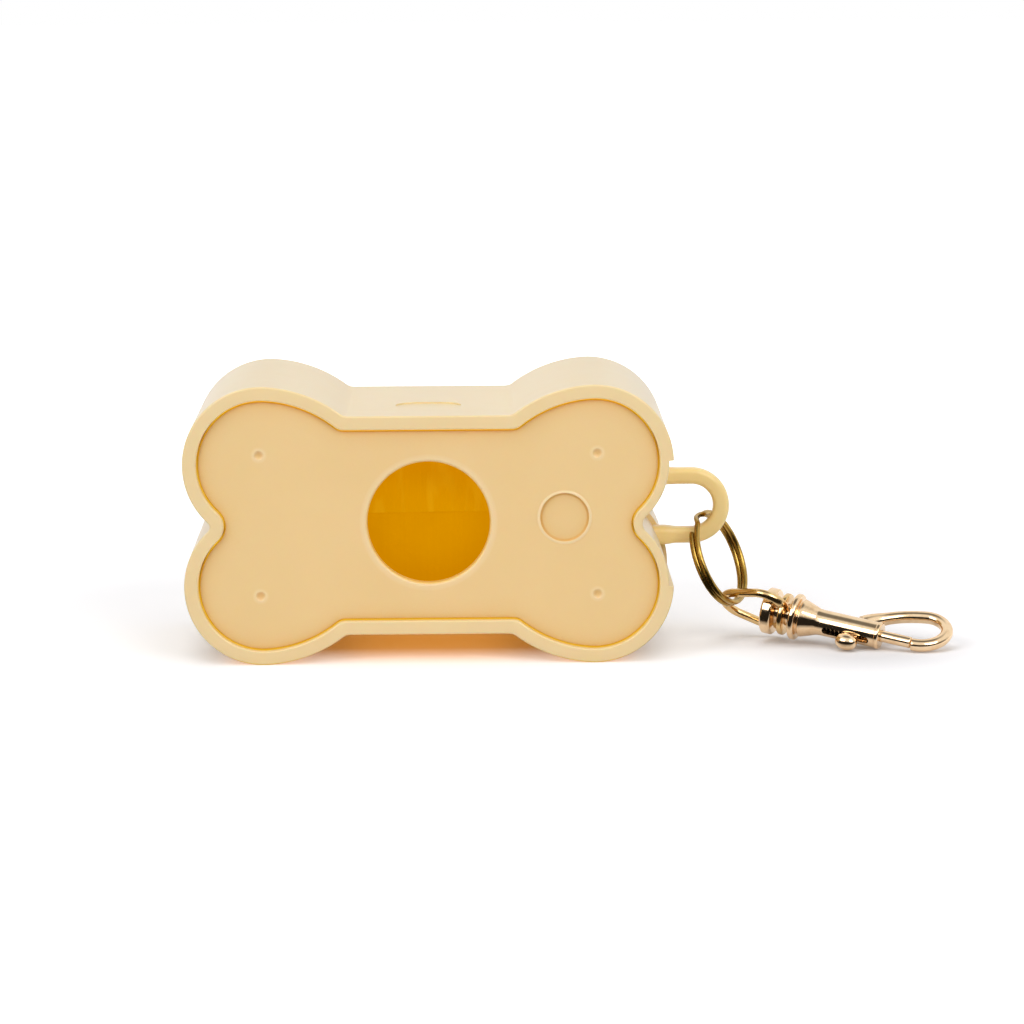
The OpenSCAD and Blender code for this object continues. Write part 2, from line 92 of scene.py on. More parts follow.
def make_camera():
    cp, sp = math.cos(PITCH), math.sin(PITCH)
    cy, sy = math.cos(YAW), math.sin(YAW)
    cr, sr = math.cos(ROLL), math.sin(ROLL)
    base = Matrix(((1, 0, 0), (0, 0, 1), (0, -1, 0)))
    rx = Matrix(((1, 0, 0), (0, cp, sp), (0, -sp, cp)))
    ry = Matrix(((cy, 0, sy), (0, 1, 0), (-sy, 0, cy)))
    rz = Matrix(((cr, -sr, 0), (sr, cr, 0), (0, 0, 1)))
    rows = rz @ rx @ ry @ base
    data = bpy.data.cameras.new("camera")
    data.sensor_fit = "HORIZONTAL"
    data.sensor_width = SENSOR
    data.lens = SENSOR * FOCAL / PICTURE
    data.clip_start, data.clip_end = 0.01, 20.0
    cam = link("camera", data)
    cam.matrix_world = Matrix.Translation(Vector(CAM) * MM) @ rows.transposed().to_4x4()
    bpy.context.scene.camera = cam


make_camera()

# ---------------------------------------------------------------- sizes
# In millimetres and degrees, named much as in the part's source. R is a radius, T a thickness,
# L a length, and X, Y and Z are places in the frame that the whole part shares. THIN_WIRE is the
# split ring's wire in the scene, where the source has RING_WIRE.
BODY_W, BODY_H, BODY_D = 88.0, 50.5, 42.0
LOBE_R, CROWN_R, GRIP_Z, GRIP_FILLET = 14.2, 25.0, 19.85, 2.3
NOTCH_FILLET, CROWN_JOIN = 1.0, 94.0
WALL, BACK = 2.5, 2.5
RELIEF_T, RELIEF_Z, RELIEF_Y = 0.85, 11.4, -18.3
OBLONG_L, OBLONG_W, OBLONG_T, OBLONG_Y = 12.0, 8.0, 0.3, 14.5
LOBE_X, LOBE_Z = BODY_W / 2 - LOBE_R, BODY_H / 2 - LOBE_R
NOTCH_C = LOBE_X + math.sqrt((LOBE_R + NOTCH_FILLET) ** 2 - LOBE_Z ** 2)
RIM_Y = -BODY_D

PANEL_Y, PANEL_T, PANEL_GAP, PANEL_EDGE = RIM_Y + 1.0, 2.2, 0.18, 0.28
PANEL_BACK = PANEL_Y + PANEL_T
MOUTH_R, MOUTH_Z, LIP = 11.0, 0.4, 0.6
BADGE_X, BADGE_Z = 24.4, 1.2
POST_X, POST_Z, SOCKET_R, SOCKET_L = 30.3, 12.8, 3.0, 14.0
PIN_R, PIN_L, PIN_FIT, SEAT_GAP = 1.95, 9.0, 0.06, 0.1
SOCKET_Y = -BACK - SOCKET_L
POSTS = [(sx * POST_X, sz * POST_Z) for sx in (-1, 1) for sz in (-1, 1)]

ROLL_R, ROLL_L, ROLL_GAP, ROLL_HOLE = 15.6, 54.0, 0.3, 7.05
CORE_R, CORE_BORE = 7.0, 6.2
TAIL_GAP, TAIL_T, FILM_T = 0.05, 0.3, 0.09
ROLL_Y = (PANEL_BACK - BACK) / 2
ROLL_Z = -GRIP_Z + WALL + ROLL_GAP + ROLL_R + TAIL_GAP + TAIL_T
ROLL_PLACE = Matrix.Translation((0, ROLL_Y, ROLL_Z))

LOOP_REACH, LOOP_OUT_R, LOOP_R = 11.3, 7.0, 5.5
LOOP_T, LOOP_H, LOOP_ROUND, LOOP_FOOT_X = 3.4, 3.0, 3.7, 39.5
LOOP_X, LOOP_Y = BODY_W / 2 + LOOP_REACH - LOOP_OUT_R, RIM_Y / 2

RING_R, RING_WIRE, RING_PITCH, RING_GAP = 8.7, 1.2, 1.23, 0.5
THIN_WIRE, THIN_PITCH = 1.02, 1.06
RING_LEAN, RING_TURN, RING_STATION, RING_SEAM = 24.2, 24.0, 60.0, 215.0
SNAP_TURN, SNAP_DIP, EYE_ROLL, HOOK_ROLL = 22.8, 8.8, 49.0, 23.5
EYE_R, EYE_L, EYE_W, EYE_END_R, EYE_SPREAD = 0.8, 9.3, 11.2, 4.1, 23.0
EYE_GAP, EYE_SIDE, EYE_SLIP = 0.35, 0.5, 6.7

# The swivel and the snap: U is a station along the snap's axis, from the middle of the button.
NECK_R, SHANK_R, COLLAR_R, COLLAR_BORE = 1.9, 1.57, 3.9, 1.96
BUTTON_R, FLANGE_R, GROOVE_R, BARREL_R, RIM_R = 4.3, 4.3, 3.0, 2.4, 2.5
BORE_R, GATE_R, GATE_BORE, HEAD_R = 1.6, 1.05, 1.11, 1.54
KNOB_R, KNOB_HALF, KNOB_SHANK_R = 1.5, 2.05, 0.55
NECK_L, COLLAR_T, SHANK_L, FLANGE_T, GROOVE_L = 3.3, 1.0, 2.0, 1.2, 0.5
CONE_L, BARREL_L, RIM_L, HOOK_GAP = 3.3, 11.2, 0.8, 6.0
NECK_U = 1.05
COLLAR_U = NECK_U + (NECK_L - COLLAR_T) / 2
FLANGE_U = NECK_U + NECK_L
SHANK_U = FLANGE_U + SHANK_L
GROOVE_U = FLANGE_U + FLANGE_T
CONE_U = GROOVE_U + GROOVE_L
BARREL_U = CONE_U + CONE_L
KNOB_U = BARREL_U + 6.6
RIM_U = BARREL_U + BARREL_L
MOUTH_U = RIM_U + RIM_L
TIP_U = MOUTH_U + HOOK_GAP
HOOK_WIRE_R, SLOT_R = 1.145, 0.7

# Where the ring hangs on the loop, and the snap in the ring.
hang = Vector((LOOP_X + LOOP_R * cos(RING_STATION), LOOP_Y, -LOOP_R * sin(RING_STATION)))
down = Vector((sin(RING_LEAN), 0, -cos(RING_LEAN)))
ring_pos = hang + (RING_R - (LOOP_ROUND / 2 + RING_GAP + RING_WIRE / 2)) * down
along = Vector((sin(RING_TURN) * cos(RING_LEAN), cos(RING_TURN), sin(RING_TURN) * sin(RING_LEAN)))
ring_link = ring_pos + RING_R * (cos(EYE_SLIP) * down - sin(EYE_SLIP) * along)
snap_dir = Vector((
    cos(SNAP_DIP) * cos(SNAP_TURN), -cos(SNAP_DIP) * sin(SNAP_TURN), -sin(SNAP_DIP)))
side_dir = Vector((
    -sin(EYE_ROLL) * sin(SNAP_TURN) + cos(EYE_ROLL) * sin(SNAP_DIP) * cos(SNAP_TURN),
    -sin(EYE_ROLL) * cos(SNAP_TURN) - cos(EYE_ROLL) * sin(SNAP_DIP) * sin(SNAP_TURN),
    cos(EYE_ROLL) * cos(SNAP_DIP)))
eye_seat = EYE_R + EYE_GAP + (RING_PITCH + RING_WIRE) / 2
snap_pos = ring_link + (EYE_L - eye_seat) * snap_dir - EYE_SIDE * side_dir


def turn(x, y, z):
    """Turns about X, then Y, then Z, in degrees."""
    rot = Matrix.Rotation(math.radians(z), 4, "Z")
    rot = rot @ Matrix.Rotation(math.radians(y), 4, "Y")
    return rot @ Matrix.Rotation(math.radians(x), 4, "X")


def snap_frame(roll):
    """The snap's place, with its axis along X, rolled about that axis."""
    place = Matrix.Translation(snap_pos) @ turn(0, SNAP_DIP, -SNAP_TURN)
    return place @ Matrix.Rotation(math.radians(roll), 4, "X")


def on_front(x, z):
    """Puts a form turned about Y at (x, z) of the front."""
    return Matrix.Translation((x, 0, z))


IDENTITY = Matrix.Identity(4)


# ---------------------------------------------------------------- mesh tools
class Shape:
    """Collects points and faces, in millimetres."""

    def __init__(self):
        self.points, self.faces = [], []

    def add(self, points, faces, place=IDENTITY):
        first = len(self.points)
        self.points += [place @ Vector(p) for p in points]
        self.faces += [[first + i for i in f] for f in faces]

    def loft(self, rings, caps=(False, False), place=IDENTITY):
        """Skins a row of closed rings with equal numbers of points."""
        n = len(rings[0])
        points = [p for ring in rings for p in ring]
        faces = []
        for a in range(len(rings) - 1):
            for k in range(n):
                j = (k + 1) % n
                faces.append([a * n + k, a * n + j, (a + 1) * n + j, (a + 1) * n + k])
        if caps[0]:
            faces.append(list(range(n))[::-1])
        if caps[1]:
            faces.append([(len(rings) - 1) * n + k for k in range(n)])
        self.add(points, faces, place)

    def lathe(self, profile, place=IDENTITY, sides=96, axis="X", loop=False):
        """Turns a profile of (radius, station) about the axis."""
        rings = []
        for r, u in profile + ([profile[0]] if loop else []):
            ring = []
            for a in around(sides):
                ring.append({
                    "X": (u, r * cos(a), r * sin(a)),
                    "Y": (r * cos(a), u, -r * sin(a)),
                    "Z": (r * cos(a), r * sin(a), u),
                }[axis])
            rings.append(ring)
        self.loft(rings, place=place)

    def wire(self, path, section, place=IDENTITY, up=Vector((0, 0, 1))):
        """Sweeps section(i), the points across the wire at path[i], along a path."""
        rings = []
        for i, here in enumerate(path):
            head = (path[min(len(path) - 1, i + 1)] - path[max(0, i - 1)]).normalized()
            side = up.cross(head).normalized()
            top = head.cross(side)
            rings.append([here + side * a + top * b for a, b in section(i)])
        self.loft(rings, caps=(True, True), place=place)

    def mesh(self, name):
        mesh = bpy.data.meshes.new(name)
        mesh.from_pydata([p * MM for p in self.points], [], self.faces)
        bm = bmesh.new()
        bm.from_mesh(mesh)
        bmesh.ops.remove_doubles(bm, verts=bm.verts, dist=2e-6)
        bmesh.ops.dissolve_degenerate(bm, edges=bm.edges, dist=1e-7)
        bmesh.ops.recalc_face_normals(bm, faces=bm.faces)
        bm.to_mesh(mesh)
        bm.free()
        return mesh


def spread(a, b, n):
    return [a + (b - a) * i / n for i in range(n + 1)]


def around(n):
    """The angles of n equal steps round a circle, in degrees."""
    return [360.0 * k / n for k in range(n)]


def arc(cx, cy, r, a0, a1, n):
    return [(cx + r * cos(a), cy + r * sin(a)) for a in spread(a0, a1, n)]


def ramp(x, a, b):
    """Eases from 0 to 1 while x runs from a to b."""
    f = min(1.0, max(0.0, (x - a) / (b - a)))
    return f * f * (3 - 2 * f)


def round_section(radii, sides):
    """The section of a round wire with a radius for each point of its path."""
    def section(i):
        return [(radii[i] * cos(a), radii[i] * sin(a)) for a in around(sides)]
    return section


def rounded(points, r, n=4):
    """Rounds the inner corners of a profile of (radius, station) points."""
    out = [points[0]]
    for i in range(1, len(points) - 1):
        p, a, b = Vector(points[i]), Vector(points[i - 1]), Vector(points[i + 1])
        cut = min(r, (p - a).length * 0.45, (p - b).length * 0.45)
        s, e = p + (a - p).normalized() * cut, p + (b - p).normalized() * cut
        for t in spread(0, 1, n):
            out.append(tuple((1 - t) ** 2 * s + 2 * t * (1 - t) * p + t * t * e))
    out.append(points[-1])
    return out


def bake(obj):
    """Applies the object's modifiers to its mesh."""
    graph = bpy.context.evaluated_depsgraph_get()
    graph.update()
    mesh = bpy.data.meshes.new_from_object(obj.evaluated_get(graph))
    obj.modifiers.clear()
    obj.data = mesh


def make(shape, name, body, material, nodes, sharp=32, joins=(), cutters=()):
    """Makes a piece: joins and cuts its mesh, shades it and ties it to its body."""
    obj = link(name, shape.mesh(name))
    for action, tools in (("UNION", joins), ("DIFFERENCE", cutters)):
        for cutter in tools:
            tool = link(name + "_tool", cutter.mesh("tool"))
            mod = obj.modifiers.new("tool", "BOOLEAN")
            mod.operation, mod.solver, mod.object = action, "EXACT", tool
            bake(obj)
            bpy.data.objects.remove(tool)
    obj.data.shade_smooth()
    obj.data.set_sharp_from_angle(angle=math.radians(sharp))
    mod = obj.modifiers.new("normals", "WEIGHTED_NORMAL")
    mod.keep_sharp, mod.weight = True, 100
    bake(obj)
    obj.data.materials.clear()
    obj.data.materials.append(material)
    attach(obj, body)
    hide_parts(*nodes)


# ---------------------------------------------------------------- bone outline
crown_cx = LOBE_X + (LOBE_R - CROWN_R) * cos(CROWN_JOIN)
crown_cz = LOBE_Z + (LOBE_R - CROWN_R) * sin(CROWN_JOIN)
flank_a = math.degrees(math.atan2(-LOBE_Z, NOTCH_C - LOBE_X))
step_a = math.degrees(math.asin((RELIEF_Z - LOBE_Z) / LOBE_R))


def quarter(inset, relief=0.0):
    """Upper right quarter of the outline; relief sets the pad around the loop further in."""
    rise = GRIP_Z - inset + GRIP_FILLET - crown_cz
    run = math.sqrt((CROWN_R - inset + GRIP_FILLET) ** 2 - rise * rise)
    turn_a = math.degrees(math.atan2(rise, -run))
    return (arc(crown_cx - run, crown_cz + rise, GRIP_FILLET, -90, turn_a - 180, 10)
            + arc(crown_cx, crown_cz, CROWN_R - inset, turn_a, CROWN_JOIN, 20)[1:]
            + arc(LOBE_X, LOBE_Z, LOBE_R - inset, CROWN_JOIN, step_a + 0.3, 40)[1:]
            + arc(LOBE_X, LOBE_Z, LOBE_R - inset - relief, step_a, flank_a, 24)
            + arc(NOTCH_C, 0, NOTCH_FILLET + inset + relief, flank_a + 180, 180, 6)[1:])


def bone_ring(inset, y, relief=0.0):
    right, left = quarter(inset, relief), quarter(inset)
    ring = right + [(x, -z) for x, z in right[-2::-1]]
    ring += [(-x, -z) for x, z in left] + [(-x, z) for x, z in left[-2::-1]]
    return [Vector((x, y, z)) for x, z in ring]


def bone_rings(points, relief=0.0):
    """One ring for each (inset, depth)."""
    return [bone_ring(inset, y, relief) for inset, y in points]


# ---------------------------------------------------------------- materials
def srgb(r, g, b):
    """The linear colour of an sRGB colour written as 0 to 255."""
    def one(v):
        v /= 255.0
        return v / 12.92 if v <= 0.04045 else ((v + 0.055) / 1.055) ** 2.4
    return (one(r), one(g), one(b))


class Nodes:
    """Adds nodes to the tree of a material or of the world."""

    def __init__(self, tree):
        self.tree = tree

    def new(self, kind):
        return self.tree.nodes.new(kind)

    def fill(self, socket, value):
        """Links another node's output to a socket, or sets a value on it."""
        if isinstance(value, bpy.types.NodeSocket):
            self.tree.links.new(value, socket)
        else:
            socket.default_value = value

    def coords(self, kind="Object"):
        return self.new("ShaderNodeTexCoord").outputs[kind]

    def object_mm(self, stretch=(1, 1, 1)):
        """Object coordinates in millimetres, each axis stretched."""
        n = self.new("ShaderNodeMapping")
        n.inputs["Scale"].default_value = [s / MM for s in stretch]
        self.fill(n.inputs["Vector"], self.coords())
        return n.outputs["Vector"]

    def axis(self, vector, name):
        n = self.new("ShaderNodeSeparateXYZ")
        self.fill(n.inputs[0], vector)
        return n.outputs[name]

    def noise(self, vector, scale, detail=4.0, rough=0.5, distortion=0.0):
        n = self.new("ShaderNodeTexNoise")
        n.inputs["Scale"].default_value = scale
        n.inputs["Detail"].default_value = detail
        n.inputs["Roughness"].default_value = rough
        n.inputs["Distortion"].default_value = distortion
        self.fill(n.inputs["Vector"], vector)
        return n.outputs["Fac"]

    def remap(self, value, a, b, lo, hi):
        """Runs from lo to hi while value runs from a to b, and holds there."""
        n = self.new("ShaderNodeMapRange")
        n.inputs["From Min"].default_value, n.inputs["From Max"].default_value = a, b
        n.inputs["To Min"].default_value, n.inputs["To Max"].default_value = lo, hi
        self.fill(n.inputs["Value"], value)
        return n.outputs["Result"]

    def math(self, operation, a, b):
        n = self.new("ShaderNodeMath")
        n.operation = operation
        self.fill(n.inputs[0], a)
        self.fill(n.inputs[1], b)
        return n.outputs[0]

    def vector(self, operation, a, b=None):
        n = self.new("ShaderNodeVectorMath")
        n.operation = operation
        self.fill(n.inputs[0], a)
        if b is not None:
            self.fill(n.inputs[1], b)
        number = operation in ("LENGTH", "DISTANCE", "DOT_PRODUCT")
        return n.outputs["Value" if number else "Vector"]

    def blend(self, fac, a, b):
        """Mixes two colours, each a node's output or a tuple of three."""
        n = self.new("ShaderNodeMix")
        n.data_type, n.blend_type = "RGBA", "MIX"
        for socket, value in ((0, fac), (6, a), (7, b)):
            self.fill(n.inputs[socket], (*value, 1.0) if isinstance(value, tuple) else value)
        return n.outputs[2]

    def bump(self, height, strength, distance, onto=None):
        n = self.new("ShaderNodeBump")
        n.inputs["Strength"].default_value = strength
        n.inputs["Distance"].default_value = distance
        self.fill(n.inputs["Height"], height)
        if onto is not None:
            self.fill(n.inputs["Normal"], onto)
        return n.outputs["Normal"]

    def mix(self, fac, a, b):
        """Mixes two shaders."""
        n = self.new("ShaderNodeMixShader")
        self.fill(n.inputs["Fac"], fac)
        self.fill(n.inputs[1], a)
        self.fill(n.inputs[2], b)
        return n.outputs[0]

    def background(self, strength):
        n = self.new("ShaderNodeBackground")
        n.inputs["Color"].default_value = (1, 1, 1, 1)
        self.fill(n.inputs["Strength"], strength)
        return n.outputs[0]

    def ring_mask(self, flat, cx, cz, lo, hi, soft):
        """1 between two radii round (cx, cz) seen from the front, with soft edges."""
        away = self.vector("DISTANCE", flat, (cx, 0, cz))
        return self.math("MULTIPLY", self.remap(away, lo - soft, lo, 0.0, 1.0),
                         self.remap(away, hi, hi + soft, 1.0, 0.0))


def new_material(name):
    mat = bpy.data.materials.new(name)
    mat.use_nodes = True
    mat.cycles.emission_sampling = "NONE"
    return mat, Nodes(mat.node_tree), mat.node_tree.nodes["Principled BSDF"]


# The colours on the next three lines are painted light and shade: shade in corners, recesses and
# gaps, highlights round lips, light on the mouth's edge, and the yellow and amber glows
PAINTED_SHADE, PAINTED_HIGHLIGHT = srgb(215, 151, 30), srgb(249, 228, 190)
PAINTED_LIP_LIGHT, PAINTED_GAP_SHADE = srgb(240, 204, 100), srgb(172, 146, 26)
PAINTED_GLOW_YELLOW, PAINTED_GLOW_AMBER = srgb(222, 182, 8), srgb(240, 160, 56)
CREASE = srgb(232, 176, 24)
AO_REACH = 0.004

# Rings of painted light and shade on the panel, painted highlights on the lips and the mouth's
# edge and painted shade inside the recess and the sink marks: on the whole face or mirrored in
# its four quarters, centre x and z, inner and outer radius, softness, strength, colour.
PAINTED_PANEL_RINGS = (
    ("flat", 0.0, MOUTH_Z, MOUTH_R + 0.55, MOUTH_R + 0.75, 0.75, 0.34, PAINTED_HIGHLIGHT),
    ("flat", 0.0, MOUTH_Z, MOUTH_R - 0.5, MOUTH_R + 0.02, 0.30, 0.70, PAINTED_LIP_LIGHT),
    ("flat", BADGE_X, BADGE_Z, 4.45, 4.80, 0.18, 0.50, PAINTED_HIGHLIGHT),
    ("flat", BADGE_X, BADGE_Z, 4.05, 4.25, 0.15, 0.45, PAINTED_SHADE),
    ("flat", BADGE_X, BADGE_Z, 0.0, 3.95, 0.25, 0.04, PAINTED_SHADE),
    ("four", POST_X, POST_Z, 0.75, 1.00, 0.55, 0.35, PAINTED_HIGHLIGHT),
    ("four", POST_X, POST_Z, 0.0, 0.50, 0.20, 0.15, PAINTED_SHADE))


def plastic(name, base, deep, rough, seed, painted_corner_glow=0.68, marks=False, under=0.0, bloom=0.0):
    """Moulded plastic: faint flow clouding, flecks, a fine satin grain and rubbed patches.
    Painted light and shade: gaps and corners get a painted olive shade and a painted yellow glow
    (painted_corner_glow), and faces turned down, most of all on the waist, a painted amber glow
    (under). Marks are painted highlights and painted shade in rings round the panel's mouth,
    recess and sink marks, with a painted amber shade in its corners, and bloom is the pale sheen
    of the case's walls."""
    mat, n, bsdf = new_material(name)
    plain = n.object_mm()
    mm = n.vector("ADD", plain, (seed, seed * 0.7, seed * 1.3))
    clouds = n.noise(mm, 0.06, 3.0, 0.5, 0.4)
    fleck = n.noise(mm, 2.6, 2.0, 0.6)
    tint = n.blend(n.remap(clouds, 0.35, 0.65, 0.0, 0.22), base, deep)
    tint = n.blend(n.remap(fleck, 0.62, 0.72, 0.0, 0.04), tint, deep)

    # ambient occlusion finds gaps and corners for the painted shade and the painted glow below
    near = n.new("ShaderNodeAmbientOcclusion")
    near.samples = 6
    near.inputs["Distance"].default_value = AO_REACH
    open_sky = near.outputs["AO"]
    if marks:
        # painted highlights and painted shade in rings round the mouth, the recess and the sink
        # marks
        flat = n.vector("MULTIPLY", plain, (1, 0, 1))
        sides = {"flat": flat, "four": n.vector("ABSOLUTE", flat)}
        for where, cx, cz, lo, hi, soft, much, colour in PAINTED_PANEL_RINGS:
            mask = n.ring_mask(sides[where], cx, cz, lo, hi, soft)
            tint = n.blend(n.remap(mask, 0.0, 1.0, 0.0, much), tint, colour)
        # painted shade: the panel turns amber where ambient occlusion finds the rim's wall and
        # the mouth close by
        tint = n.blend(n.remap(open_sky, 0.50, 0.985, 0.95, 0.0), tint, PAINTED_SHADE)
    # painted shade: gaps and tight corners that ambient occlusion finds turn olive
    tint = n.blend(n.remap(open_sky, 0.12, 0.45, 0.9, 0.0), tint, PAINTED_GAP_SHADE)
    n.fill(bsdf.inputs["Base Color"], tint)

    # painted glow: gaps and corners that ambient occlusion finds glow yellow, though the plastic
    # is no lamp
    glow = n.remap(open_sky, 0.04, 0.40, painted_corner_glow, 0.0)
    # painted glow: faces turned down, most of all under the waist, glow amber
    if under:
        faces_down = n.remap(n.axis(n.coords("Normal"), "Z"), -0.97, -0.80, under, 0.0)
        waist = n.remap(n.axis(plain, "Z"), -24.0, -21.5, 0.25, 1.0)
        below = n.math("MULTIPLY", faces_down, waist)
        n.fill(bsdf.inputs["Emission Color"],
               n.blend(n.remap(below, 0.0, 0.05, 0.0, 1.0), PAINTED_GLOW_YELLOW, PAINTED_GLOW_AMBER))
        glow = n.math("MAXIMUM", glow, below)
    else:
        bsdf.inputs["Emission Color"].default_value = (*PAINTED_GLOW_YELLOW, 1.0)
    n.fill(bsdf.inputs["Emission Strength"], glow)

    rubbed = n.noise(mm, 0.22, 4.0, 0.6)
    n.fill(bsdf.inputs["Roughness"], n.remap(rubbed, 0.3, 0.7, rough - 0.015, rough + 0.02))
    swell = n.bump(n.noise(mm, 0.05, 1.0, 0.4), 0.10, 0.0005)
    grain = n.noise(mm, 9.0, 3.0, 0.6)
    n.fill(bsdf.inputs["Normal"], n.bump(grain, 0.02, 0.00003, swell))
    bsdf.inputs["Subsurface Weight"].default_value = 0.18
    bsdf.inputs["Subsurface Radius"].default_value = (1.0, 0.42, 0.12)
    bsdf.inputs["Subsurface Scale"].default_value = 0.0022
    bsdf.inputs["IOR"].default_value = 1.49
    bsdf.inputs["Sheen Weight"].default_value = bloom
    bsdf.inputs["Sheen Roughness"].default_value = 0.35
    return mat


def film(name, base, deep, creased=0.0):
    """Wound plastic film: fine lines round the roll, slack patches and soft creases.
    Part of its colour is painted light: it glows, so it stays rich even deep in the mouth."""
    mat, n, bsdf = new_material(name)
    lines = n.object_mm((1.0, 0.02, 0.02))
    wound = n.noise(lines, 1.9, 5.0, 0.65)
    fine = n.noise(lines, 7.0, 2.0, 0.5)
    slack = n.noise(n.object_mm(), 0.10, 3.0, 0.5, 0.6)
    tint = n.blend(n.remap(wound, 0.38, 0.66, 0.0, 0.25), base, deep)
    tint = n.blend(n.remap(slack, 0.40, 0.70, 0.0, 0.35), tint, deep)
    wave = n.bump(slack, 0.35, 0.0012)
    if creased:
        crease = n.noise(n.object_mm((0.55, 0.1, 0.12)), 0.55, 2.0, 0.5, 0.5)
        tint = n.blend(n.remap(crease, 0.50, 0.62, 0.0, creased), tint, CREASE)
        wave = n.bump(crease, 0.5, 0.0012, wave)
    # painted light: a darkened base and a glow of the same tint, which flatten the shade on the
    # film
    n.fill(bsdf.inputs["Base Color"], n.blend(0.72, tint, (0.0, 0.0, 0.0)))
    n.fill(bsdf.inputs["Emission Color"], tint)
    bsdf.inputs["Emission Strength"].default_value = 0.74
    n.fill(bsdf.inputs["Roughness"], n.remap(fine, 0.3, 0.7, 0.40, 0.56))
    n.fill(bsdf.inputs["Normal"], n.bump(wound, 0.15, 0.00015, wave))
    bsdf.inputs["Specular IOR Level"].default_value = 0.0
    bsdf.inputs["Subsurface Weight"].default_value = 0.12
    bsdf.inputs["Subsurface Radius"].default_value = (1.0, 0.5, 0.08)
    bsdf.inputs["Subsurface Scale"].default_value = 0.0015
    return mat


def metal(name, base, deep, rough, scratch=0.3):
    """Plated or bare metal: fine rubbing marks, smudges and a slightly uneven surface."""
    mat, n, bsdf = new_material(name)
    mm = n.object_mm()
    smudge = n.noise(mm, 0.55, 4.0, 0.6, 0.5)
    hair = n.noise(n.object_mm((0.35, 2.2, 2.2)), 6.0, 4.0, 0.7)
    n.fill(bsdf.inputs["Base Color"],
           n.blend(n.remap(smudge, 0.42, 0.72, 0.0, 0.7), base, deep))
    bsdf.inputs["Metallic"].default_value = 1.0
    n.fill(bsdf.inputs["Roughness"], n.remap(smudge, 0.3, 0.75, rough, rough + 0.12))
    swell = n.bump(n.noise(mm, 0.7, 2.0, 0.4), 0.10, 0.00012)
    n.fill(bsdf.inputs["Normal"], n.bump(hair, scratch, 0.00001, swell))
    return mat


def board(name):
    """Grey-brown paper board with long fibres and blots."""
    mat, n, bsdf = new_material(name)
    fibre = n.noise(n.object_mm((0.3, 1.0, 1.0)), 3.0, 5.0, 0.7)
    blot = n.noise(n.object_mm(), 0.4, 3.0, 0.5)
    tint = n.blend(n.remap(fibre, 0.35, 0.7, 0.0, 1.0), srgb(178, 148, 112), srgb(140, 112, 82))
    tint = n.blend(n.remap(blot, 0.45, 0.7, 0.0, 0.5), tint, srgb(196, 172, 138))
    n.fill(bsdf.inputs["Base Color"], tint)
    bsdf.inputs["Roughness"].default_value = 0.9
    n.fill(bsdf.inputs["Normal"], n.bump(fibre, 0.5, 0.00008))
    return mat


m_case = plastic("case_plastic", srgb(239, 214, 163), srgb(235, 206, 150), rough=0.31,
                 seed=3.0, painted_corner_glow=0.60, under=0.50, bloom=0.36)
m_panel = plastic("panel_plastic", srgb(239, 207, 148), srgb(233, 198, 134), rough=0.38,
                  seed=11.0, marks=True)
m_loop = plastic("loop_plastic", srgb(254, 225, 155), srgb(250, 214, 136), rough=0.30, seed=23.0)
m_film = film("wound_film", srgb(218, 146, 0), srgb(210, 137, 0))
m_lead = film("leading_film", srgb(214, 147, 0), srgb(208, 140, 0), creased=0.22)
m_gold = metal("gold_plate", srgb(245, 216, 176), srgb(228, 190, 144), rough=0.06)
m_eye = metal("eye_plate", srgb(234, 200, 143), srgb(210, 169, 108), rough=0.10)
m_ring = metal("old_brass", srgb(184, 150, 76), srgb(146, 112, 46), rough=0.20, scratch=0.5)
m_steel = metal("spring_steel", srgb(108, 98, 88), srgb(84, 76, 68), rough=0.34)
m_board = board("core_board")


# ---------------------------------------------------------------- case
def build_case():
    """A tub with four sockets inside and a shallow oblong in its top."""
    s = Shape()
    back_r, front_r, inner_r, floor_r = 0.9, 0.35, 0.3, 0.8
    outer = bone_rings(arc(back_r, -back_r, back_r, 90, 180, 8))
    outer += [bone_ring(0, y) for y in (-4.0, -10.0, -17.0, RELIEF_Y + 0.12)]
    outer += [bone_ring(0, y, RELIEF_T) for y in (RELIEF_Y, -19.5, -26.0, -33.0, -38.0)]
    outer += bone_rings(arc(front_r, RIM_Y + front_r, front_r, 180, 270, 6), RELIEF_T)
    inner = bone_rings(arc(WALL - inner_r, RIM_Y + inner_r, inner_r, 270, 360, 5))
    inner += [bone_ring(WALL, y) for y in (-39.0, -28.0, -15.0, -BACK - floor_r)]
    inner += bone_rings(arc(WALL + floor_r, -BACK - floor_r, floor_r, 165, 90, 5))
    s.loft(outer + inner, caps=(True, True))
    bore, bore_y = PIN_R + PIN_FIT, SOCKET_Y + PIN_L + 1.0
    for x, z in POSTS:
        s.lathe([(SOCKET_R, -BACK / 2), (SOCKET_R, SOCKET_Y + 0.2), (SOCKET_R - 0.2, SOCKET_Y),
                 (bore + 0.25, SOCKET_Y), (bore, SOCKET_Y + 0.25), (bore, bore_y),
                 (0.0, bore_y)], on_front(x, z), sides=48, axis="Y")
    oblong = Shape()
    half, rings = (OBLONG_L - OBLONG_W) / 2, []
    for z, grow in ((-OBLONG_T, -0.15), (-0.22, 0.0), (-0.04, 0.0), (0.6, 0.4)):
        ends = [arc(sx * half, RIM_Y + OBLONG_Y, OBLONG_W / 2 + grow, -90 * sx, 180 - 90 * sx, 20)
                for sx in (1, -1)]
        rings.append([Vector((x, y, GRIP_Z + z)) for x, y in ends[0] + ends[1]])
    oblong.loft(rings, caps=(True, True))
    make(s, "case_shell", "case", m_case, ["case"], cutters=[oblong])


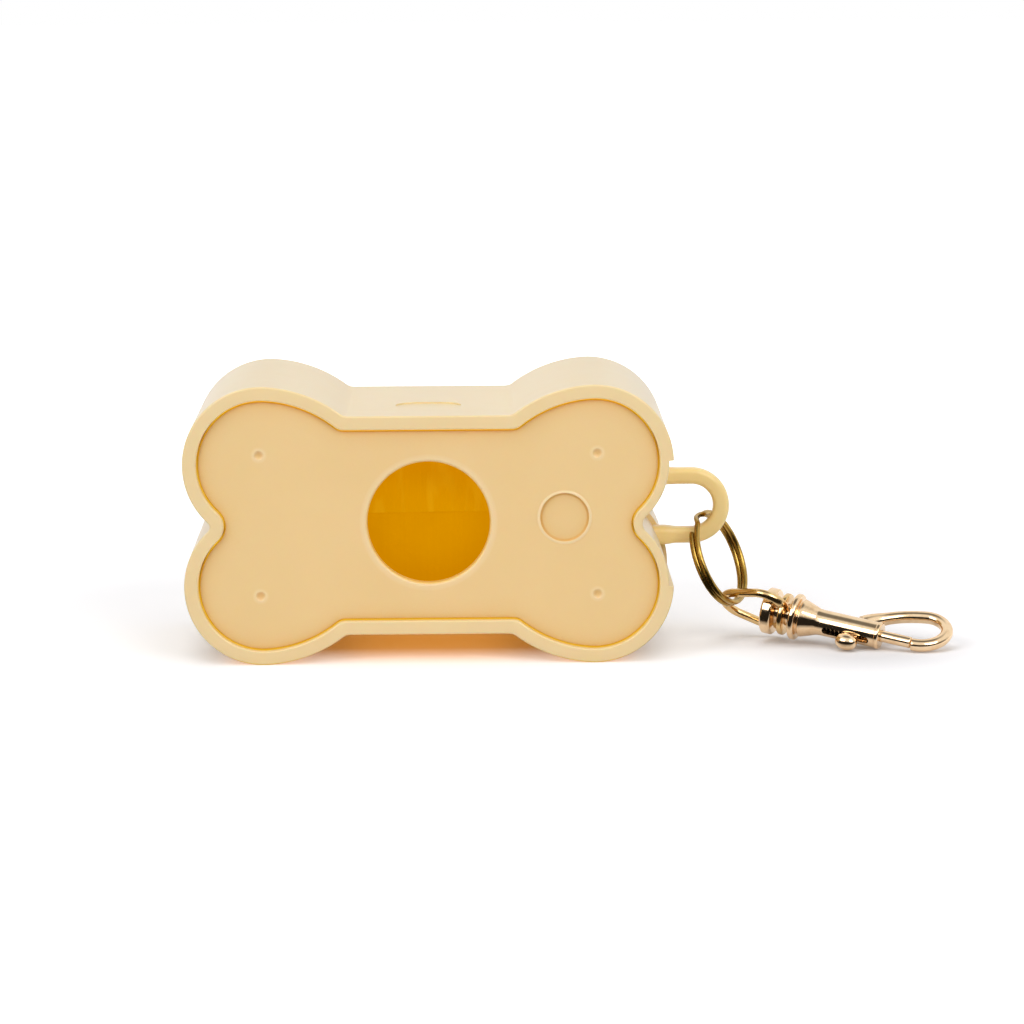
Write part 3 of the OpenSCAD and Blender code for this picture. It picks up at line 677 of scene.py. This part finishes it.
# ---------------------------------------------------------------- front panel
# (radius, depth) of the round recess with its raised lip, and of a sink mark.
BADGE = ((4.95, 0.0), (4.85, -0.04), (4.72, -0.10), (4.58, -0.13), (4.44, -0.10), (4.34, 0.0),
         (4.28, 0.14), (4.22, 0.28), (4.08, 0.37), (3.85, 0.40), (3.2, 0.40), (1.6, 0.385),
         (0.0, 0.38))
DIMPLE = ((0.95, 0.0), (0.86, 0.03), (0.72, 0.12), (0.5, 0.25), (0.25, 0.33), (0.0, 0.35))


def fill_flat(loops, y):
    """A flat face at depth y between loops of points."""
    bm = bmesh.new()
    edges = []
    for loop in loops:
        verts = [bm.verts.new((p[0], y, p[2])) for p in loop]
        for i in range(len(verts)):
            edges.append(bm.edges.new((verts[i], verts[(i + 1) % len(verts)])))
    bmesh.ops.triangle_fill(bm, use_beauty=True, use_dissolve=False, edges=edges)
    bm.verts.index_update()
    points = [v.co.copy() for v in bm.verts]
    faces = [[v.index for v in f.verts] for f in bm.faces]
    bm.free()
    return points, faces


def circle(cx, cz, r, n):
    return [Vector((cx + r * cos(a), 0, cz - r * sin(a))) for a in around(n)]


def build_panel():
    """A plate with a round mouth, a bare recess, four sink marks and four pins behind."""
    s = Shape()
    ins, edge, foot = WALL + PANEL_GAP, PANEL_EDGE, SOCKET_Y - SEAT_GAP
    mouth_n, badge_n, dimple_n = 144, 96, 32
    side = bone_rings(arc(ins + edge, PANEL_Y + edge, edge, 270, 180, 6))
    side += [bone_ring(ins, PANEL_BACK - 0.2), bone_ring(ins + 0.2, PANEL_BACK)]
    s.loft(side)
    s.lathe([(MOUTH_R + LIP - LIP * sin(a), PANEL_Y + LIP - LIP * cos(a))
             for a in spread(0, 90, 8)]
            + [(MOUTH_R, PANEL_BACK - 0.25), (MOUTH_R + 0.25, PANEL_BACK)],
            on_front(0, MOUTH_Z), sides=mouth_n, axis="Y")
    s.lathe([(r, PANEL_Y + d) for r, d in BADGE], on_front(BADGE_X, BADGE_Z), sides=badge_n,
            axis="Y")
    holes = [circle(0, MOUTH_Z, MOUTH_R + LIP, mouth_n),
             circle(BADGE_X, BADGE_Z, BADGE[0][0], badge_n)]
    for x, z in POSTS:
        s.lathe([(r, PANEL_Y + d) for r, d in DIMPLE], on_front(x, z), sides=dimple_n, axis="Y")
        holes.append(circle(x, z, DIMPLE[0][0], dimple_n))
        s.lathe([(SOCKET_R, PANEL_BACK - 0.3), (SOCKET_R, foot - 0.2), (SOCKET_R - 0.2, foot),
                 (PIN_R, foot), (PIN_R, foot + PIN_L - 0.4), (PIN_R - 0.4, foot + PIN_L),
                 (0.0, foot + PIN_L)], on_front(x, z), sides=48, axis="Y")
    s.add(*fill_flat([side[0]] + holes, PANEL_Y))
    s.add(*fill_flat([side[-1], circle(0, MOUTH_Z, MOUTH_R + 0.25, mouth_n)], PANEL_BACK))
    make(s, "panel_face", "panel", m_panel, ["front_panel"])


# ---------------------------------------------------------------- carry loop
def build_loop():
    s = Shape()
    path = [Vector((x, 0, LOOP_R)) for x in spread(LOOP_FOOT_X, LOOP_X, 22)]
    path += [Vector((LOOP_X + LOOP_R * sin(a), 0, LOOP_R * cos(a))) for a in spread(4, 176, 43)]
    path += [Vector((x, 0, -LOOP_R)) for x in spread(LOOP_X, LOOP_FOOT_X, 22)]
    path = [p + Vector((0, LOOP_Y, 0)) for p in path]
    squareness, sides, root_x = 3.4, 48, 45.6

    def section(i):
        """A rounded oblong, swollen towards the root and most of all on the lower arm."""
        root = ramp(root_x - path[i].x, 0.0, 2.2)
        swell = 1.0 + 0.16 * root * (1.0 if path[i].z < 0 else 0.35)
        points = []
        for a in around(sides):
            ca, sa = cos(a), sin(a)
            r = (abs(ca / (LOOP_T / 2)) ** squareness
                 + abs(sa / (LOOP_H / 2)) ** squareness) ** (-1.0 / squareness)
            points.append((r * sa * swell, r * ca * swell))
        return points

    s.wire(path, section, up=Vector((0, 1, 0)))
    make(s, "loop_bow", "case", m_loop, ["carry_loop"], sharp=60)


# ---------------------------------------------------------------- roll of bags
def ripple(x):
    """A wave between 0 and 1, with x in radians."""
    return 0.5 + 0.5 * math.sin(x)


def build_roll():
    """The wound film, with shallow waves along and round it."""
    s = Shape()
    half, sides, flat_r = ROLL_L / 2, 160, 15.0
    stations = [(-half, ROLL_HOLE), (-half, ROLL_HOLE + 0.3), (-half, 10.0), (-half, 13.0),
                (-half, flat_r), (-half + 0.02, ROLL_R - 0.25), (-half + 0.12, ROLL_R - 0.05)]
    stations += ([(x, ROLL_R) for x in spread(-half + 0.35, half - 0.35, 60)]
                 + [(-x, r) for x, r in stations[::-1]])
    rings = []
    for x, r in stations:
        ring = []
        for a in around(sides):
            dip = 0.0
            if r > flat_r:
                dip = (0.045 * ripple(x * 0.9 + 2.2 * math.sin(a * 0.0349))
                       + 0.03 * ripple(x * 2.3 + 1.0))
            ring.append(Vector((x, (r - dip) * cos(a), (r - dip) * sin(a))))
        rings.append(ring)
    s.loft(rings, place=ROLL_PLACE)
    s.lathe([(ROLL_HOLE, -half), (ROLL_HOLE, half)], ROLL_PLACE, sides=sides)
    make(s, "film_roll", "roll", m_film, ["bag_roll"], sharp=50)


def build_lead():
    """The leading bag. It goes round the roll from its free edge in the mouth (first) over the
    top to the back (last), with slack waves and an uneven free edge."""
    s = Shape()
    first, last, steps, columns = 9.5, 183.0, 85, 108
    base_r = ROLL_R + TAIL_GAP + TAIL_T - 0.20
    rings = []
    for j, along_roll in enumerate(spread(first, last, steps)):
        outer, inner = [], []
        for x in spread(-ROLL_L / 2, ROLL_L / 2, columns):
            wave = 0.5 + 0.5 * math.sin(x * 0.42 + 1.3 * math.sin(x * 0.17)) * math.cos(j * 0.09)
            r = base_r + 0.20 * wave * (1 - ramp(j, 0, 60) * 0.6)
            uneven = 0.35 * (1.1 * math.sin(x * 0.11 + 0.8) + 0.35 * math.sin(x * 0.53))
            a = along_roll if j else along_roll + uneven
            y, z = -cos(a), sin(a)
            outer.append(Vector((x, r * y, r * z)))
            inner.append(Vector((x, (r - FILM_T) * y, (r - FILM_T) * z)))
        rings.append(outer + inner[::-1])
    s.loft(rings, caps=(True, True), place=ROLL_PLACE)
    make(s, "loose_bag", "roll", m_lead, ["leading_bag"], sharp=60)


def build_core():
    s = Shape()
    half = ROLL_L / 2
    s.lathe([(CORE_BORE, -half), (CORE_R - 0.1, -half), (CORE_R, -half + 0.1),
             (CORE_R, half - 0.1), (CORE_R - 0.1, half), (CORE_BORE, half)],
            ROLL_PLACE, sides=96, loop=True)
    make(s, "board_core", "roll", m_board, ["roll_core"])


# ---------------------------------------------------------------- split ring
def build_ring():
    """Nearly two turns of wire, thinner than in the source, with a step between them."""
    s = Shape()
    rings, last, n, sides = [], 685.0, 340, 28
    place = (Matrix.Translation(ring_pos) @ turn(0, -RING_LEAN, 0) @ turn(0, 0, -RING_TURN)
             @ turn(0, 90, 0) @ turn(0, 0, RING_SEAM))
    for i, t in enumerate(spread(0, last, n)):
        shift = THIN_PITCH * (ramp(t, 325, 350) - 0.5)
        end = min(i, n - i)
        r = THIN_WIRE / 2 * (1.0 if end >= 2 else (0.75, 0.95)[end])
        ring = []
        for a in around(sides):
            out = RING_R + sin(a) * r
            ring.append(Vector((out * cos(t), out * sin(t), shift + cos(a) * r)))
        rings.append(ring)
    s.loft(rings, caps=(True, True), place=place)
    make(s, "key_ring", "ring", m_ring, ["split_ring"], sharp=50)


# ---------------------------------------------------------------- swivel snap
def build_eye():
    """A wire bow whose two arms bend round into the collar."""
    s = Shape()
    knee_q = EYE_W / 2
    start = (-EYE_END_R * sin(EYE_SPREAD), EYE_END_R * cos(EYE_SPREAD))
    arm = (knee_q - start[1]) / sin(EYE_SPREAD)
    end_u = EYE_END_R - EYE_L
    knee_u = end_u + start[0] + arm * cos(EYE_SPREAD)
    bend_r = (COLLAR_U + COLLAR_T / 2 - knee_u) / (1 + sin(EYE_SPREAD))
    bend = (knee_u + bend_r * sin(EYE_SPREAD), knee_q - bend_r * cos(EYE_SPREAD))
    side = arc(bend[0], bend[1], bend_r, 0, 90 + EYE_SPREAD, 30)
    last, first = side[-1], (end_u + start[0], start[1])
    side += [(last[0] + (first[0] - last[0]) * t, last[1] + (first[1] - last[1]) * t)
             for t in spread(0.1, 0.9, 8)]
    tip = arc(end_u, 0, EYE_END_R, 90 + EYE_SPREAD, 270 - EYE_SPREAD, 40)
    path = [Vector((u, q, 0)) for u, q in side + tip + [(u, -q) for u, q in side[::-1]]]
    n = len(path)
    radii = [EYE_R * (1.0 + 0.22 * (1 - ramp(min(i, n - 1 - i), 4, 26))) for i in range(n)]
    place = snap_frame(EYE_ROLL)
    s.wire(path, round_section(radii, 28), place @ turn(90, 0, 0))
    mid, front = COLLAR_U + COLLAR_T / 2, COLLAR_U + COLLAR_T
    s.lathe(rounded([(COLLAR_BORE, mid), (COLLAR_BORE, COLLAR_U), (COLLAR_R, COLLAR_U),
                     (COLLAR_R, front), (COLLAR_BORE, front), (COLLAR_BORE, mid)], 0.34),
            place, sides=96)
    make(s, "eye_bow", "eye", m_eye, ["swivel_eye"], sharp=50)


def hook_path():
    """The hook's middle line: up the back, round the end and down to the bolt's tip, then the
    last steps, where the wire narrows."""
    tip_r, end_r, back_r, drop = 4.9, 4.1, 18.3, 0.4
    join, swing, root = -4.0, 103.0, 141.0
    tip_c = (TIP_U, tip_r - drop)
    end_c = (tip_c[0] + (tip_r - end_r) * cos(join), tip_c[1] + (tip_r - end_r) * sin(join))
    back_c = (end_c[0] + (end_r - back_r) * cos(swing), end_c[1] + (end_r - back_r) * sin(swing))
    path = arc(back_c[0], back_c[1], back_r, root, swing, 36)
    path += arc(end_c[0], end_c[1], end_r, swing, join, 48)[1:]
    path += arc(tip_c[0], tip_c[1], tip_r, join, -88, 34)[1:]
    path += [(TIP_U + 0.07, -drop), (TIP_U + 0.02, -drop), (TIP_U, -drop)]
    return [Vector((u, v, 0)) for u, v in path]


def build_stud():
    """An end button and a neck, with a shank pressed into the snap."""
    s = Shape()
    s.lathe(rounded([(0.0, -NECK_U), (4.0, -NECK_U), (BUTTON_R, -0.75), (BUTTON_R, 0.75),
                     (4.0, NECK_U), (NECK_R, NECK_U), (NECK_R, FLANGE_U), (SHANK_R, FLANGE_U),
                     (SHANK_R, SHANK_U), (0.0, SHANK_U)], 0.18), snap_frame(0), sides=128)
    make(s, "stud_disc", "snap", m_gold, ["swivel_stud"], sharp=40)


def build_snap():
    """Flange, groove, cone and barrel with the hook, bored and slotted for the bolt."""
    place = snap_frame(HOOK_ROLL)
    s, hook, bore, slot = Shape(), Shape(), Shape(), Shape()
    s.lathe(rounded([(0.0, FLANGE_U + 0.01), (4.05, FLANGE_U + 0.01), (FLANGE_R, FLANGE_U + 0.3),
                     (FLANGE_R, GROOVE_U - 0.3), (4.05, GROOVE_U), (GROOVE_R, GROOVE_U),
                     (GROOVE_R, CONE_U - 0.02), (3.38, CONE_U), (3.5, CONE_U + 0.12),
                     (3.42, CONE_U + 0.5), (2.75, BARREL_U - 0.9), (2.45, BARREL_U - 0.1),
                     (BARREL_R, BARREL_U + 0.8), (BARREL_R, RIM_U), (RIM_R, RIM_U + 0.1),
                     (RIM_R, MOUTH_U - 0.2), (2.3, MOUTH_U), (0.0, MOUTH_U)], 0.16),
            place, sides=144)
    path = hook_path()
    radii = [HOOK_WIRE_R * (1.0 + 0.42 * (1 - ramp(i, 0, 17))) for i in range(len(path))]
    radii[-3:] = [1.14, 1.07, 0.95]
    hook.wire(path, round_section(radii, 40), place)
    bore.lathe([(0.0, FLANGE_U - 0.5), (BORE_R, FLANGE_U - 0.5), (BORE_R, RIM_U),
                (GATE_BORE, RIM_U + 0.02), (GATE_BORE, MOUTH_U + 0.5), (0.0, MOUTH_U + 0.5)],
               place, sides=64)
    rear, front = KNOB_U - 5.3, RIM_U - 0.9
    ring = arc(rear + SLOT_R, 0, SLOT_R, 90, 270, 16)
    ring += arc(front - SLOT_R, 0, SLOT_R, -90, 90, 16)
    slot.loft([[Vector((u, y, v)) for u, v in ring] for y in (-4.0, 0.0)], caps=(True, True),
              place=place)
    make(s, "snap_cast", "snap", m_gold, ["snap_body"], sharp=34,
         joins=[hook], cutters=[bore, slot])


def build_bolt():
    """The sliding bolt, whose head runs in the bore."""
    place = snap_frame(HOOK_ROLL)
    s = Shape()
    head, tip = KNOB_U - 1.2, TIP_U - 0.15
    s.lathe(rounded([(0.0, head - 1), (0.55, head - 1), (0.6, head), (HEAD_R, head),
                     (HEAD_R, head + 2.4), (GATE_R, head + 2.5), (GATE_R, tip - 0.25),
                     (0.8, tip), (0.0, tip)], 0.12), place, sides=64)
    make(s, "gate_bolt", "bolt", m_gold, ["snap_bolt"], sharp=40)


def build_knob():
    """An oval knob, with a shank through the slot."""
    place = snap_frame(HOOK_ROLL)
    s = Shape()
    lift = BARREL_R + 0.15 + KNOB_R
    oval = [(KNOB_R * cos(a) ** 0.9, KNOB_HALF * sin(a)) for a in spread(-89.9, 89.9, 48)]
    s.lathe([(0.0, -KNOB_HALF)] + oval + [(0.0, KNOB_HALF)],
            place @ Matrix.Translation((KNOB_U, -lift, 0)), sides=64)
    s.lathe([(0.0, 0.05), (KNOB_SHANK_R, 0.05), (KNOB_SHANK_R, lift - 1.0), (0.0, lift - 1.0)],
            place @ Matrix.Translation((KNOB_U, 0, 0)) @ turn(90, 0, 0), sides=32, axis="Z")
    make(s, "thumb_oval", "bolt", m_gold, ["thumb_knob"], sharp=50)


build_case()
build_panel()
build_loop()
build_roll()
build_lead()
build_core()
build_ring()
build_eye()
build_stud()
build_snap()
build_bolt()
build_knob()

# the return spring is the CAD solid, in steel
for obj in bpy.data.objects:
    if obj.name.startswith("bolt_spring"):
        obj.data.materials.clear()
        obj.data.materials.append(m_steel)

# ---------------------------------------------------------------- floor, light
# Lengths are in metres here, apart from SNAP_HALF. Seen directly or mirrored, the floor is lifted
# to white away from the part: FLOOR_NEAR of the way just outside the body's footprint, the rest
# further out, and little round the snap, so that painted shade stays fixed beside the body and a
# painted shadow round the snap's place at rest. ROOM_DIM and AMBIENT are strengths of light.
FLOOR_Z = min(cad_box[0][2], cad_box[1][2])
FLOOR_HALF, FLOOR_NEAR, ROOM_DIM, AMBIENT = 3.0, 0.34, 0.015, 0.25
FOOT_X, FOOT_Y = 0.033, 0.0065
SNAP_HALF = 17.0
SNAP_MID = (snap_pos + SNAP_HALF * snap_dir) * MM
LEVEL = (1, 1, 0)


def make_floor():
    w = FLOOR_HALF
    mesh = bpy.data.meshes.new("floor")
    mesh.from_pydata([(-w, -w, FLOOR_Z), (w, -w, FLOOR_Z), (w, w, FLOOR_Z), (-w, w, FLOOR_Z)],
                     [], [(0, 1, 2, 3)])
    floor = link("floor", mesh)
    mat, n, bsdf = new_material("floor_white")
    bsdf.inputs["Base Color"].default_value = (0.80, 0.79, 0.805, 1)
    bsdf.inputs["Roughness"].default_value = 0.6
    bsdf.inputs["Specular IOR Level"].default_value = 0.0
    rays = n.new("ShaderNodeLightPath").outputs
    here = n.coords()

    # how far a point lies outside the footprint of the body
    off = n.vector("ABSOLUTE", n.vector("ADD", here, (0, BODY_D / 2 * MM, 0)))
    off = n.vector("MAXIMUM", n.vector("SUBTRACT", off, (FOOT_X, FOOT_Y, 0)), (0, 0, 0))
    off = n.vector("LENGTH", n.vector("MULTIPLY", off, LEVEL))
    # painted shade: the white lift fades out towards the body's footprint
    glow = n.math("ADD", n.remap(off, 0.0, 0.013, 0.0, FLOOR_NEAR),
                  n.remap(off, 0.05, 0.35, 0.0, 1.0 - FLOOR_NEAR))
    # painted shadow: the lift drops to little round the snap's place at rest
    away = n.vector("DISTANCE", n.vector("MULTIPLY", here, LEVEL), (SNAP_MID[0], SNAP_MID[1], 0))
    glow = n.math("MULTIPLY", glow, n.remap(away, 0.009, 0.028, 0.12, 1.0))
    seen = n.math("MAXIMUM", rays["Is Camera Ray"], rays["Is Glossy Ray"])
    seen = n.math("MAXIMUM", seen, rays["Is Transmission Ray"])
    bsdf.inputs["Emission Color"].default_value = (1, 1, 1, 1)
    n.fill(bsdf.inputs["Emission Strength"], n.math("MULTIPLY", seen, glow))

    # painted reflection: glossy rays alone see the table in front of the snap dim, which paints a
    # dark streak on its metal
    dim = n.new("ShaderNodeEmission")
    dim.inputs["Color"].default_value = (1.0, 0.9, 0.8, 1)
    dim.inputs["Strength"].default_value = 0.02
    across = n.vector("DOT_PRODUCT", here, (-sin(SNAP_TURN), -cos(SNAP_TURN), 0))
    start = -(SNAP_MID[0] * sin(SNAP_TURN) + SNAP_MID[1] * cos(SNAP_TURN))
    in_front = n.remap(across, start + 0.005, start + 0.009, 0.0, 1.0)
    shade = n.math("MULTIPLY", in_front, rays["Is Glossy Ray"])
    n.fill(mat.node_tree.nodes["Material Output"].inputs["Surface"],
           n.mix(shade, bsdf.outputs[0], dim.outputs[0]))
    mesh.materials.append(mat)


def make_world():
    """White where the camera sees it, and a soft ambient for the rest. Polished forms mirror a
    white room that is dim low behind the camera and straight overhead."""
    world = bpy.context.scene.world or bpy.data.worlds.new("world")
    bpy.context.scene.world = world
    world.use_nodes = True
    world.node_tree.nodes.clear()
    n = Nodes(world.node_tree)
    rays = n.new("ShaderNodeLightPath").outputs
    way = n.coords("Generated")
    up = n.axis(way, "Z")
    dark = n.math("MULTIPLY", n.remap(n.axis(way, "Y"), -0.35, 0.10, 1.0, 0.0),
                  n.remap(up, 0.20, 0.42, 1.0, 0.0))
    dark = n.math("MAXIMUM", dark, n.remap(up, 0.88, 0.97, 0.0, 0.8))
    room = n.background(n.remap(dark, 0.0, 1.0, 1.0, ROOM_DIM))
    shiny = n.math("MAXIMUM", rays["Is Glossy Ray"], rays["Is Transmission Ray"])
    light = n.mix(shiny, n.background(AMBIENT), room)
    n.fill(n.new("ShaderNodeOutputWorld").inputs["Surface"],
           n.mix(rays["Is Camera Ray"], light, n.background(1.0)))


def lamp(name, where, aim, size, power, mirrored=True):
    data = bpy.data.lights.new(name, "AREA")
    data.shape, data.size, data.size_y = "RECTANGLE", size[0], size[1]
    data.energy = power
    obj = link(name, data)
    obj.location = where
    obj.rotation_euler = (Vector(aim) - Vector(where)).to_track_quat("-Z", "Y").to_euler()
    obj.visible_glossy = mirrored


make_floor()
make_world()
lamp("top", (0.02, -0.05, 0.95), (0.02, -0.02, 0), (0.9, 0.8), 4.3, mirrored=False)
lamp("front_left", (-0.80, -0.82, 0.66), (0.0, -0.02, 0), (0.8, 0.7), 6.0)
lamp("front_right", (0.60, -0.95, 0.66), (0.03, -0.02, 0), (0.7, 0.6), 5.6)

scene = bpy.context.scene
scene.view_settings.view_transform = "Standard"
